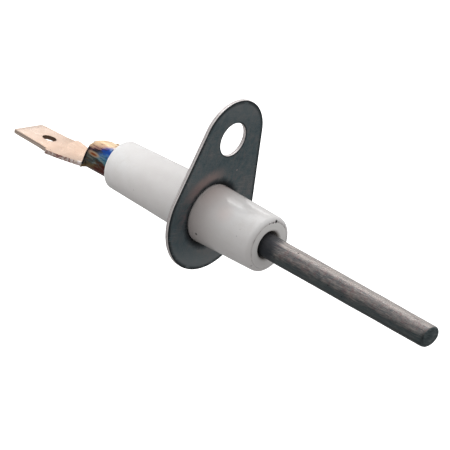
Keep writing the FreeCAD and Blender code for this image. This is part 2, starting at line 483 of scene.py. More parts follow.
def mat_flange():
    n = Nodes("dark_steel")
    # distance inside the outline: the hull of the two end circles
    bq = (FL_BIG_R - FL_SMALL_R) / FL_PITCH
    aq = math.sqrt(1 - bq * bq)
    ay = n.math("ABSOLUTE", n.y)
    k = n.sub(n.mul(n.z, aq), n.mul(ay, bq))
    t = n.math("DIVIDE", k, aq * FL_PITCH, clamp=True)
    zc = n.sub(n.z, n.mul(t, FL_PITCH))
    ln = n.t.nodes.new("ShaderNodeVectorMath")
    ln.operation = "LENGTH"
    n.link(n.combine(0.0, n.y, zc), ln.inputs[0])
    rad = n.remap(t, 0, 1, FL_BIG_R, FL_SMALL_R)
    d = n.sub(rad, ln.outputs["Value"])           # mm inside the outline
    # distance outside the screw hole
    hz = n.sub(n.z, FL_PITCH)
    lh = n.t.nodes.new("ShaderNodeVectorMath")
    lh.operation = "LENGTH"
    n.link(n.combine(0.0, n.y, hz), lh.inputs[0])
    dh = n.sub(lh.outputs["Value"], SCREW_R)
    r = n.radius()

    broad = n.noise(0.22, 3, 0.55, dist=0.3)
    mott = n.noise(1.1, 5, 0.65, dist=0.5)
    fine = n.noise(6.5, 4, 0.7)
    brush = n.noise(1.0, 3, 0.6, stretch=(1.0, 2.2, 0.55),
                    shift=(0, 1.7, 0.2))
    col = n.ramp(n.add(n.mul(mott, 0.65), n.mul(broad, 0.35)),
                 [(0.36, (0.072, 0.116, 0.134)),
                  (0.46, (0.112, 0.156, 0.172)),
                  (0.54, (0.150, 0.178, 0.188)),
                  (0.64, (0.210, 0.214, 0.218))])
    col = n.mix(n.mul(n.ramp01(fine, 0.50, 0.64), 0.45), col,
                (0.215, 0.21, 0.21))
    col = n.mix(n.mul(n.ramp01(fine, 0.46, 0.36), 0.45), col,
                (0.050, 0.072, 0.085))
    col = n.mix(n.mul(n.ramp01(brush, 0.52, 0.64), 0.35), col,
                (0.20, 0.185, 0.185))
    # the lower end is bluer and darker
    col = n.mix(n.mul(n.mul(n.ramp01(n.z, 4.0, -3.0), n.ramp01(n.y, 2.0, -3.0)),
                      0.35), col, (0.075, 0.112, 0.132))
    ends = n.math("MAXIMUM", n.ramp01(n.z, -3.5, -6.5),
                  n.mul(n.ramp01(n.z, 10.5, 13.5), 0.6))
    col = n.mix(n.mul(ends, 0.55), col, (0.25, 0.27, 0.28))
    # pinkish-brown over the lip, upper near side: a painted reflection of the lit ceramic;
    # below it on the near side, a mottled pinkish-brown patch
    ring = n.mul(n.ramp01(n.add(r, n.mul(n.sub(mott, 0.5), 1.8)), 6.4, 5.0),
                 n.ramp01(r, 4.1, 4.9))
    side = n.mul(n.ramp01(n.z, 0.6, 3.4), n.ramp01(n.y, 1.2, -1.8))
    col = n.mix(n.mul(n.mul(ring, side), 0.85), col, (0.36, 0.275, 0.26))
    left = n.mul(n.ramp01(n.y, -2.6, -4.4), n.mul(ring, n.ramp01(n.z, -3.2, 0.6)))
    col = n.mix(n.mul(n.mul(left, n.ramp01(mott, 0.44, 0.56)), 0.6), col,
                (0.25, 0.18, 0.19))
    # lower lip: a lighter arc, in patches
    arc_ = n.mul(n.mul(n.ramp01(r, 4.35, 4.9), n.ramp01(r, 6.0, 5.3)),
                 n.ramp01(n.z, -2.4, -4.0))
    col = n.mix(n.mul(n.mul(arc_, n.ramp01(broad, 0.36, 0.60)), 0.50), col,
                (0.235, 0.225, 0.225))
    # painted shade in the lip around the ceramic: a near-black contact shadow, partly
    # grime, which also raises the roughness
    lip_shade_and_grime = n.ramp01(n.add(r, n.mul(n.sub(mott, 0.5), 0.7)), 4.95, 4.00)
    col = n.mix(n.mul(lip_shade_and_grime, 0.90), col, (0.016, 0.019, 0.023))
    # dark line just inside the blanked edges
    inner = n.mul(n.mul(n.ramp01(d, 0.62, 0.22), n.ramp01(d, 0.02, 0.10)),
                  n.ramp01(n.add(mott, n.mul(fine, 0.3)), 0.50, 0.62))
    col = n.mix(n.mul(inner, 0.80), col, (0.018, 0.030, 0.036))
    edge_l = n.mul(n.ramp01(d, 0.26, 0.13), n.ramp01(d, -0.02, 0.05))
    col = n.mix(n.mul(edge_l, 0.85), col, (0.010, 0.016, 0.020))
    innerh = n.mul(n.ramp01(dh, 0.24, 0.13), n.ramp01(n.x, -0.2, -0.12))
    col = n.mix(n.mul(innerh, 0.75), col, (0.014, 0.020, 0.024))
    # light pits and dark pits
    col = n.mix(n.mul(n.specks(1.15, 0.085, shift=(0.1, 0.35, 0.8)), 0.7),
                col, (0.34, 0.30, 0.28))
    col = n.mix(n.mul(n.spot((0, 2.42, 5.60), 0.10, 0.6), 0.85), col,
                (0.52, 0.42, 0.40))
    col = n.mix(n.mul(n.specks(1.9, 0.10, shift=(0.7, 0.1, 0.3)), 0.65),
                col, (0.025, 0.032, 0.036))
    # faint slanting scratches
    sv = n.t.nodes.new("ShaderNodeMapping")
    n.link(n.mm, sv.inputs["Vector"])
    sv.inputs["Rotation"].default_value = (math.radians(34), 0, 0)
    sv.inputs["Scale"].default_value = (1.0, 0.32, 7.5)
    scr = n.noise(1.0, 3, 0.65, vec=sv.outputs[0])
    scm = n.mul(n.ramp01(scr, 0.56, 0.66), n.ramp01(broad, 0.36, 0.55))
    col = n.mix(n.mul(scm, 0.42), col, (0.27, 0.26, 0.26))
    # sheared edge and hole wall: bare steel with a burnished band
    sx = n.t.nodes.new("ShaderNodeSeparateXYZ")
    n.link(n.nrm, sx.inputs[0])
    side_wall = n.ramp01(n.math("ABSOLUTE", sx.outputs[0]), 0.80, 0.40)
    thin = n.mul(side_wall, n.ramp01(n.math("MINIMUM", d, dh), 0.30, 0.12))
    sh = n.noise(1.0, 4, 0.7, stretch=(2.6, 1.3, 1.3))
    shear = n.ramp(n.add(n.mul(n.x, -1.0), n.mul(n.sub(sh, 0.5), 0.30)),
                   [(0.05, (0.64, 0.60, 0.59)), (0.20, (1.0, 0.96, 0.95)),
                    (0.27, (0.34, 0.31, 0.31)), (0.34, (0.84, 0.78, 0.77)),
                    (0.50, (0.60, 0.56, 0.56))])
    col = n.mix(n.mul(thin, 0.95), col, shear)
    rough = n.remap(mott, 0.25, 0.75, 0.36, 0.56)
    rough = n.add(rough, n.mul(lip_shade_and_grime, 0.20))
    rough = n.add(rough, n.mul(n.sub(fine, 0.5), 0.12))
    b = n.bump(broad, 0.06, 0.8)
    b = n.bump(mott, 0.022, 0.9, b)
    b = n.bump(fine, 0.007, 0.9, b)
    b = n.bump(n.mul(scm, -1.0), 0.006, 0.7, b)
    b = n.bump(sh, 0.012, 0.5, b)
    return n.finish(col, rough, 0.85, b)


def mat_rod():
    n = Nodes("drawn_wire")
    ang = n.angle()
    streak = n.noise(1.0, 5, 0.68, stretch=(0.42, 4.0, 4.0))
    fine = n.noise(1.0, 3, 0.62, stretch=(1.1, 8.0, 8.0), shift=(3, 0, 0))
    scale_ = n.noise(0.55, 4, 0.65, dist=0.5, shift=(9, 2, 4))
    blot = n.noise(1.9, 4, 0.7, shift=(2, 8, 1))
    col = n.ramp(n.add(n.mul(streak, 0.65), n.mul(scale_, 0.35)),
                 [(0.34, (0.105, 0.116, 0.124)),
                  (0.46, (0.185, 0.182, 0.184)),
                  (0.54, (0.255, 0.232, 0.225)),
                  (0.66, (0.36, 0.32, 0.30))])
    col = n.mix(n.mul(n.ramp01(fine, 0.52, 0.64), 0.60), col,
                (0.085, 0.095, 0.102))
    col = n.mix(n.mul(n.ramp01(fine, 0.46, 0.36), 0.45), col,
                (0.46, 0.41, 0.38))
    # mauve and brown oxide
    col = n.mix(n.mul(n.ramp01(blot, 0.50, 0.62), 0.50), col,
                (0.20, 0.125, 0.128))
    # painted light by angle about the axis: a bright beige painted highlight along the
    # upper side, and dark teal painted shade and reflection on the underside
    top = n.mul(n.ramp01(ang, 36.0, 60.0), n.remap(streak, 0.38, 0.60, 0.45, 1.0))
    col = n.mix(n.mul(top, 0.46), col, (0.62, 0.565, 0.525))
    low = n.ramp01(n.add(ang, n.mul(n.sub(streak, 0.5), 40.0)), 12.0, -28.0)
    col = n.mix(n.mul(low, 0.72), col, (0.048, 0.080, 0.088))
    # painted shade: near black along the lower rim
    lower_rim_shade = n.ramp01(ang, -34.0, -50.0)
    col = n.mix(n.mul(lower_rim_shade, 0.8), col, (0.012, 0.020, 0.024))
    # painted shade on the rod next to the ceramic, partly burnt dark as well; also rougher
    exit_shade_and_burn = n.ramp01(n.add(n.x, n.mul(n.sub(streak, 0.5), 3.0)),
                    INS_X1 + 3.0, INS_X1 + 1.2)
    col = n.mix(n.mul(exit_shade_and_burn, 0.88), col, (0.050, 0.056, 0.066))
    # pits
    pits = n.specks(1.5, 0.16, stretch=(0.7, 1.0, 1.0), shift=(0.2, 0.1, 0))
    col = n.mix(n.mul(pits, 0.75), col, (0.030, 0.028, 0.032))
    pits2 = n.specks(0.8, 0.10, shift=(5.2, 1.1, 0.7))
    col = n.mix(n.mul(pits2, 0.8), col, (0.025, 0.025, 0.028))
    pits3 = n.specks(2.6, 0.13, stretch=(0.6, 1.0, 1.0), shift=(1.2, 3.1, 0.4))
    col = n.mix(n.mul(pits3, 0.65), col, (0.035, 0.034, 0.038))
    # cropped end face, darker, with shear marks
    sx = n.t.nodes.new("ShaderNodeSeparateXYZ")
    n.link(n.nrm, sx.inputs[0])
    end = n.mul(n.ramp01(sx.outputs[0], 0.45, 0.75), n.ramp01(n.x, 30.0, 36.0))
    crop = n.noise(1.0, 4, 0.7, stretch=(1, 1.1, 4.5))
    endc = n.ramp(crop, [(0.35, (0.055, 0.075, 0.082)),
                         (0.55, (0.105, 0.130, 0.137)),
                         (0.72, (0.20, 0.22, 0.22))])
    col = n.mix(end, col, endc)
    rim = n.mul(n.ramp01(n.radius(), 1.20, 1.42), n.ramp01(n.x, 36.2, 36.85))
    col = n.mix(n.mul(rim, 0.85), col, (0.022, 0.028, 0.030))
    rough = n.add(n.remap(streak, 0.3, 0.7, 0.30, 0.46),
                  n.mul(n.math("MAXIMUM", pits, exit_shade_and_burn), 0.2))
    b = n.bump(streak, 0.035, 0.9)
    b = n.bump(fine, 0.010, 0.8, b)
    b = n.bump(blot, 0.012, 0.8, b)
    b = n.bump(n.mul(pits, -1.0), 0.03, 0.8, b)
    b = n.bump(n.mul(crop, n.mul(end, 1.0)), 0.05, 0.8, b)
    return n.finish(col, rough, 0.92, b, Anisotropic=0.35)


def mat_terminal():
    n = Nodes("copper_alloy")
    ang = n.angle()
    broad = n.noise(0.35, 3, 0.5)
    mott = n.noise(1.5, 4, 0.6, dist=0.4)
    roll = n.noise(1.0, 3, 0.6, stretch=(0.35, 5.0, 5.0))
    fine = n.noise(8.0, 3, 0.6)
    # rose-gold sheet: paler at the tip, more orange towards the neck
    along = n.remap(n.add(n.x, n.mul(n.sub(broad, 0.5), 2.4)), -30.4, -19.6,
                    0.0, 1.0)
    col = n.ramp(along, [(0.0, (0.78, 0.63, 0.53)), (0.45, (0.645, 0.475, 0.37)),
                         (0.80, (0.62, 0.44, 0.325)), (1.0, (0.64, 0.47, 0.355))])
    col = n.mix(n.mul(n.ramp01(mott, 0.44, 0.62), 0.35), col,
                (0.72, 0.50, 0.375))
    col = n.mix(n.mul(n.ramp01(roll, 0.50, 0.62), 0.35), col,
                (0.66, 0.48, 0.38))
    col = n.mix(n.mul(n.ramp01(roll, 0.46, 0.36), 0.25), col,
                (0.80, 0.66, 0.55))
    # sheared edges of the strip: redder and darker, with a fracture band; the pale band
    # along the top edge is a painted highlight
    sx = n.t.nodes.new("ShaderNodeSeparateXYZ")
    n.link(n.nrm, sx.inputs[0])
    upz = n.math("ABSOLUTE", sx.outputs[2])
    blade = n.ramp01(n.x, -19.25, -19.45)
    edge = n.mul(n.ramp01(upz, 0.86, 0.55), blade)
    zr = n.add(n.z, n.mul(n.y, -0.065))          # height across the strip
    shn = n.noise(1.0, 4, 0.7, stretch=(2.0, 1.0, 6.0))
    band = n.add(zr, n.mul(n.sub(shn, 0.5), 0.22))
    edc = n.ramp(n.remap(band, -2.02, -1.48, 0, 1),
                 [(0.0, (0.60, 0.48, 0.41)), (0.30, (0.92, 0.80, 0.70)),
                  (0.46, (0.36, 0.25, 0.20)), (0.58, (0.68, 0.54, 0.46)),
                  (0.85, (0.86, 0.72, 0.60)), (1.0, (0.98, 0.88, 0.76))])
    col = n.mix(edge, col, edc)
    # painted highlight: a pale line where the blade turns up into the barrel
    bend_highlight = n.mul(n.ramp01(n.math("ABSOLUTE", n.add(n.x, 19.50)), 0.20, 0.06),
                  n.ramp01(n.z, -1.30, -1.45))
    col = n.mix(n.mul(bend_highlight, 0.8), col, (0.98, 0.93, 0.86))
    # painted highlight: a bright spot at the neck corner
    corner = n.spot((-19.88, -1.95, -1.52), 0.26, 0.6)
    col = n.mix(n.mul(corner, 0.85), col, (1.0, 0.95, 0.90))
    # torn, reddish edge along the neck
    neck = n.mul(edge, n.ramp01(n.x, -25.0, -24.0))
    torn = n.noise(1.9, 4, 0.75, shift=(1, 5, 2))
    col = n.mix(n.mul(neck, n.ramp01(torn, 0.50, 0.57)), col,
                (0.34, 0.115, 0.12))
    col = n.mix(n.mul(n.mul(neck, n.ramp01(torn, 0.48, 0.42)), 0.8), col,
                (1.0, 0.88, 0.88))
    # latching hole wall
    dv = n.t.nodes.new("ShaderNodeVectorMath")
    dv.operation = "LENGTH"
    n.link(n.combine(n.add(n.x, 26.75), n.y, 0.0), dv.inputs[0])
    hole = n.mul(n.ramp01(dv.outputs["Value"], 1.06, 0.98),
                 n.ramp01(upz, 0.8, 0.5))
    col = n.mix(n.mul(hole, 0.90), col, (0.17, 0.10, 0.065))
    # temper colours on the barrel, from the brazing heat. They run round the
    # wall in streaks along it.
    strk = n.noise(1.0, 4, 0.68, stretch=(0.55, 2.6, 2.6), shift=(4, 1, 2))
    warp = n.add(n.mul(n.sub(n.noise(0.60, 3, 0.6, shift=(2, 2, 7)), 0.5), 62.0),
                 n.mul(n.sub(strk, 0.5), 68.0))
    drift = n.mul(n.add(n.x, 17.0), 10.0)
    pos = n.remap(n.add(n.sub(ang, drift), warp), -75.0, 95.0, 0.0, 1.0)
    temper = n.ramp(pos, [
        (0.00, srgb(84, 46, 40)),
        (0.25, srgb(98, 48, 42)),
        (0.315, srgb(104, 74, 56)),
        (0.365, srgb(70, 84, 92)),
        (0.42, srgb(92, 138, 150)),
        (0.47, srgb(124, 170, 190)),
        (0.535, srgb(60, 98, 158)),
        (0.605, srgb(38, 44, 84)),
        (0.650, srgb(152, 112, 116)),
        (0.71, srgb(200, 164, 144)),
        (0.78, srgb(226, 196, 162)),
        (0.88, srgb(230, 206, 172)),
        (1.0, srgb(222, 192, 156))])
    # greyer and browner towards the wing's end
    dull = n.ramp(pos, [
        (0.00, srgb(76, 52, 40)),
        (0.24, srgb(104, 70, 48)),
        (0.34, srgb(132, 112, 76)),
        (0.42, srgb(74, 84, 86)),
        (0.50, srgb(128, 132, 122)),
        (0.57, srgb(66, 70, 80)),
        (0.62, srgb(40, 36, 48)),
        (0.665, srgb(150, 112, 112)),
        (0.73, srgb(206, 168, 144)),
        (0.80, srgb(226, 196, 162)),
        (1.0, srgb(218, 186, 150))])
    temper = n.mix(n.ramp01(n.add(n.x, n.mul(n.sub(strk, 0.5), 1.2)),
                            -17.0, -18.0), temper, dull)
    blob = n.noise(1.0, 4, 0.65, dist=0.8, stretch=(0.7, 1.8, 1.8),
                   shift=(5, 3, 1))
    temper = n.mix(n.mul(n.ramp01(blob, 0.58, 0.68), 0.6), temper,
                   srgb(120, 100, 78))
    temper = n.mix(n.mul(n.ramp01(strk, 0.45, 0.36), 0.6), temper,
                   srgb(52, 40, 40))
    # cobalt patch next to the ceramic
    cob = n.mul(n.spot((-16.35, -1.78, 0.85), 0.92, 0.35),
                n.ramp01(strk, 0.36, 0.50))
    temper = n.mix(n.mul(cob, 0.85), temper, srgb(30, 78, 172))
    cyan = n.mul(n.spot((-16.3, -1.98, -0.05), 0.75, 0.6),
                 n.ramp01(strk, 0.44, 0.56))
    temper = n.mix(n.mul(cyan, 0.75), temper, srgb(100, 160, 176))
    # painted highlight: a light-blue glint near the ceramic end
    glint = n.mul(n.spot((-15.95, -1.20, 1.60), 0.40, 0.6),
                  n.ramp01(blob, 0.42, 0.56))
    temper = n.mix(n.mul(glint, 0.8), temper, srgb(150, 184, 212))
    pale = n.mul(n.spot((-17.2, -1.98, -0.15), 0.75, 0.7),
                 n.ramp01(strk, 0.52, 0.58))
    temper = n.mix(n.mul(pale, 0.7), temper, srgb(186, 186, 170))
    # an orange-brown spot with a pale surround near the wing's end, both
    # long in the direction of the axis

    def patch(p, rx, r, soft):
        v = n.t.nodes.new("ShaderNodeMapping")
        v.vector_type = "POINT"
        n.link(n.mm, v.inputs["Vector"])
        v.inputs["Scale"].default_value = (r / rx, 1.0, 1.0)
        d = n.t.nodes.new("ShaderNodeVectorMath")
        d.operation = "DISTANCE"
        n.link(v.outputs[0], d.inputs[0])
        d.inputs[1].default_value = (p[0] * r / rx, p[1], p[2])
        return n.ramp01(d.outputs["Value"], r * (1 + soft), r * (1 - soft))

    temper = n.mix(n.mul(patch((-18.10, -1.98, 0.17), 0.88, 0.27, 0.45), 0.85),
                   temper, srgb(222, 192, 160))
    temper = n.mix(n.mul(patch((-18.10, -1.98, 0.14), 0.58, 0.15, 0.5), 0.95),
                   temper, srgb(158, 84, 44))
    # far side and inside: straw to brown
    far = n.ramp01(n.y, 0.4, 1.3)
    temper = n.mix(n.mul(far, 0.45), temper, srgb(196, 150, 108))
    inside = n.ramp01(n.math("MAXIMUM", n.radius(), 0.0), 1.66, 1.58)
    temper = n.mix(n.mul(inside, 0.8), temper, srgb(92, 66, 52))
    heat = n.ramp01(n.add(n.x, n.mul(n.sub(mott, 0.5), 0.9)), -19.7, -19.15)
    col = n.mix(heat, col, temper)
    # painted shade: a near-black line where the wing ends, and darker low down where the
    # barrel meets the ceramic
    over_ = n.math("MAXIMUM", n.sub(n.z, 0.3), 0.0)
    xe = n.add(n.mul(over_, 0.80), -19.36)
    off = n.sub(n.add(n.x, n.mul(n.sub(mott, 0.5), 0.18)), xe)
    wing_end_shade = n.mul(n.mul(n.ramp01(off, 0.40, 0.16), n.ramp01(off, -0.18, -0.08)),
                 n.mul(n.ramp01(n.z, -1.70, -1.50), n.ramp01(n.z, 1.0, 0.5)))
    col = n.mix(n.mul(wing_end_shade, 0.93), col, (0.012, 0.012, 0.014))
    col = n.mix(n.mul(n.mul(n.ramp01(n.x, -16.05, -15.5),
                            n.ramp01(n.z, 0.6, -0.9)), 0.85), col,
                (0.02, 0.014, 0.016))
    col = n.mix(n.mul(n.specks(1.6, 0.07), 0.35), col, (0.45, 0.30, 0.22))
    rough = n.add(n.remap(mott, 0.3, 0.7, 0.25, 0.36), n.mul(edge, 0.12))
    rough = n.add(rough, n.mul(heat, 0.04))
    b = n.bump(broad, 0.05, 0.7)
    b = n.bump(roll, 0.012, 0.7, b)
    b = n.bump(fine, 0.003, 0.7, b)
    b = n.bump(n.mul(torn, neck), 0.10, 0.9, b)
    b = n.bump(n.mul(mott, heat), 0.05, 0.8, b)
    return n.finish(col, rough, 0.95, b)


def mat_cement():
    n = Nodes("bore_cement")
    a = n.noise(2.2, 5, 0.7)
    g = n.noise(9.0, 4, 0.7)
    col = n.ramp(a, [(0.3, (0.30, 0.27, 0.23)), (0.55, (0.46, 0.43, 0.38)),
                     (0.75, (0.62, 0.59, 0.54))])
    col = n.mix(n.mul(n.ramp01(g, 0.5, 0.7), 0.5), col, (0.20, 0.17, 0.14))
    b = n.bump(a, 0.10, 0.9)
    b = n.bump(g, 0.03, 0.9, b)
    return n.finish(col, n.remap(g, 0.3, 0.7, 0.75, 0.95), 0.0, b)


def mat_braze():
    n = Nodes("braze_metal")
    a = n.noise(1.6, 4, 0.6, dist=0.6)
    g = n.noise(7.0, 4, 0.7)
    col = n.ramp(a, [(0.30, srgb(120, 92, 66)), (0.48, srgb(176, 138, 92)),
                     (0.62, srgb(206, 172, 120)), (0.78, srgb(150, 120, 96))])
    col = n.mix(n.mul(n.ramp01(g, 0.55, 0.75), 0.55), col, srgb(74, 56, 46))
    col = n.mix(n.mul(n.specks(2.2, 0.12), 0.6), col, srgb(60, 66, 78))
    b = n.bump(a, 0.08, 0.9)
    b = n.bump(g, 0.02, 0.9, b)
    return n.finish(col, n.remap(a, 0.3, 0.7, 0.30, 0.48), 0.9, b)


# ---------------------------------------------------------------------------
# the rod: slightly uneven drawn wire, cropped end with a worn edge
# ---------------------------------------------------------------------------
def build_rod():
    w = wobble(11, 0.010, 9, (0.2, 1.4), (1, 5))
    t = 0.27
    prof = [(ROD_X0, 0.0), (ROD_X0, 0.7), (ROD_X0 + 0.0, ROD_R - 0.12)]
    prof += arc_pts(ROD_X0 + 0.11, ROD_R - 0.12, 0.11, 180, 90, 4)[1:]
    prof += divide((ROD_X0 + 0.12, ROD_R - 0.01), (ROD_X1 - t, ROD_R - 0.01),
                   150)
    prof += arc_pts(ROD_X1 - t, ROD_R - 0.01 - t, t, 90, 6, 6)[1:]
    prof += [(ROD_X1 - 0.005, 1.15), (ROD_X1 - 0.012, 0.8),
             (ROD_X1 - 0.02, 0.4), (ROD_X1 - 0.02, 0.0)]

    def low_side(a):
        """1 underneath, where the crop slants back and is worn round."""
        return (0.5 + 0.5 * math.cos(a - math.radians(262))) ** 1.5

    def dr(x, a, r):
        e = w(x, a)
        # nicks and a flattened patch on the cropped edge
        if x > ROD_X1 - 0.45:
            e -= 0.035 * max(0.0, math.sin(2 * a + 0.7)) * \
                (x - ROD_X1 + 0.45) / 0.45
        if x > ROD_X1 - 1.0:
            e -= 0.17 * low_side(a) * ((x - ROD_X1 + 1.0) / 1.0) ** 2
        return e if r > 0.5 else 0.0

    ripple = wobble(5, 0.012, 6, (0.0, 0.1), (1, 6))

    def dx(x, a, r):
        e = 0.0
        if x > ROD_X1 - 1.5:
            e -= 0.50 * low_side(a) * ((x - ROD_X1 + 1.5) / 1.5) ** 2 * \
                min(1.0, r / ROD_R)
        if x > ROD_X1 - 0.2 and r > 0.3:
            e += ripple(r * 3, a) - 0.018 * (1 + math.sin(a * 1 + 2.2))
        return e

    ob = lathe("drawn_rod", prof, 112, dr=dr, dx=dx)
    # the free end hangs a little low, as the wire isn't dead straight
    for v in ob.data.vertices:
        x = v.co.x / MM
        if x > 8.0:
            v.co.z -= (0.25 * ((x - 8.0) / (ROD_X1 - 8.0)) ** 1.25
                       + 0.13 * min(1.0, (x - 8.0) / 4.0)) * MM
    ob.data.update()
    ob.data.materials.append(mat_rod())
    place(ob, "electrode_rod")
    return ob


# ---------------------------------------------------------------------------
# the insulator: tapered, pressed and glazed ceramic
# ---------------------------------------------------------------------------
def build_insulator():
    fr, rr = 0.60, 0.62
    r_front = 3.59
    sh_x, sh_r, seat_r = -0.20, 3.785, 3.682
    bore, mouth = 1.75, 0.34
    rear_r = 3.105

    def rear_taper(x):
        u = (x - INS_X0) / (sh_x - INS_X0)
        return rear_r + u * (seat_r - rear_r)

    prof = []
    # bore mouth, front face (a little dished), glaze bead, outer round
    prof += arc_pts(INS_X1 - mouth, bore + mouth, mouth, -90, 0, 5)
    prof += [(INS_X1 - 0.008, 2.2), (INS_X1 - 0.010, 2.35),
             (INS_X1 - 0.008, 2.6), (INS_X1 - 0.004, 2.86),
             (INS_X1 - 0.020, 2.93)]
    prof += arc_pts(INS_X1 - fr, r_front - fr, fr, 86, 2, 1)[:0]
    prof += arc_pts(INS_X1 - fr, r_front - fr, fr, 3, 88, 16)
    start = prof[-1]
    prof += divide(start, (sh_x + 0.05, sh_r - 0.004), 44)
    prof += arc_pts(sh_x + 0.05, sh_r - 0.055, 0.05, 90, 180, 4)[1:]
    prof += [(sh_x, seat_r + 0.02), (sh_x - 0.02, rear_taper(sh_x - 0.02))]
    x_end = INS_X0 + rr
    prof += divide((sh_x - 0.02, rear_taper(sh_x - 0.02)),
                   (x_end, rear_taper(x_end) - 0.008), 60)
    prof += arc_pts(x_end, rear_taper(x_end) - 0.008 - rr, rr, 90, 180, 14)[1:]
    prof += [(INS_X0 + 0.006, 2.2)]
    prof += arc_pts(INS_X0 + 0.13, bore + 0.13, 0.13, 180, 270, 5)
    prof += divide((INS_X0 + 0.13, bore), (INS_X1 - mouth, bore), 30)[:-1]

    w = wobble(3, 0.014, 9, (0.15, 0.8), (1, 4))
    w2 = wobble(8, 0.007, 8, (0.8, 2.2), (3, 9))

    def dr(x, a, r):
        if r < 2.0:
            return 0.0
        # where the collar sits the surface stays true
        keep = 1.0
        if -2.6 < x < 0.4:
            keep = 0.10
        return keep * (w(x, a) + w2(x, a)) - 0.004

    fw = wobble(21, 0.010, 6, (0.0, 0.1), (1, 5))

    def dx(x, a, r):
        if x > INS_X1 - 0.65 or x < INS_X0 + 0.65:
            return -abs(fw(r, a)) if x > 0 else abs(fw(r, a))
        return 0.0

    ob = lathe("glazed_insulator", prof, 144, closed=True, dr=dr, dx=dx)
    ob.data.materials.append(mat_ceramic())
    place(ob, "insulator")
    return ob


# ---------------------------------------------------------------------------
# the flange: blanked sheet, rolled lip and drawn collar in one skin
# ---------------------------------------------------------------------------
def outline_point(s, inset):
    """A point of the outline, s from 0 to 1 anticlockwise from the lowest
    point, moved in by inset."""
    bq = (FL_BIG_R - FL_SMALL_R) / FL_PITCH
    th = math.asin(bq)                       # tangent points' angle above Y
    R, r = FL_BIG_R - inset, FL_SMALL_R - inset
    big = R * (math.pi / 2 + th)
    run = FL_PITCH * math.cos(th)
    small = r * (math.pi / 2 - th)
    half = big + run + small
    t = s * 2
    sign = 1
    if t > 1:
        t, sign = 2 - t, -1
    d = t * half
    if d <= big:
        a = -math.pi / 2 + d / R
        y, z = R * math.cos(a), R * math.sin(a)
    elif d <= big + run:
        q = (d - big) / run
        y0, z0 = R * math.cos(th), R * math.sin(th)
        y1, z1 = r * math.cos(th), FL_PITCH + r * math.sin(th)
        y, z = y0 + (y1 - y0) * q, z0 + (z1 - z0) * q
    else:
        a = th + (d - big - run) / r
        y, z = r * math.cos(a), FL_PITCH + r * math.sin(a)
    return sign * y, z


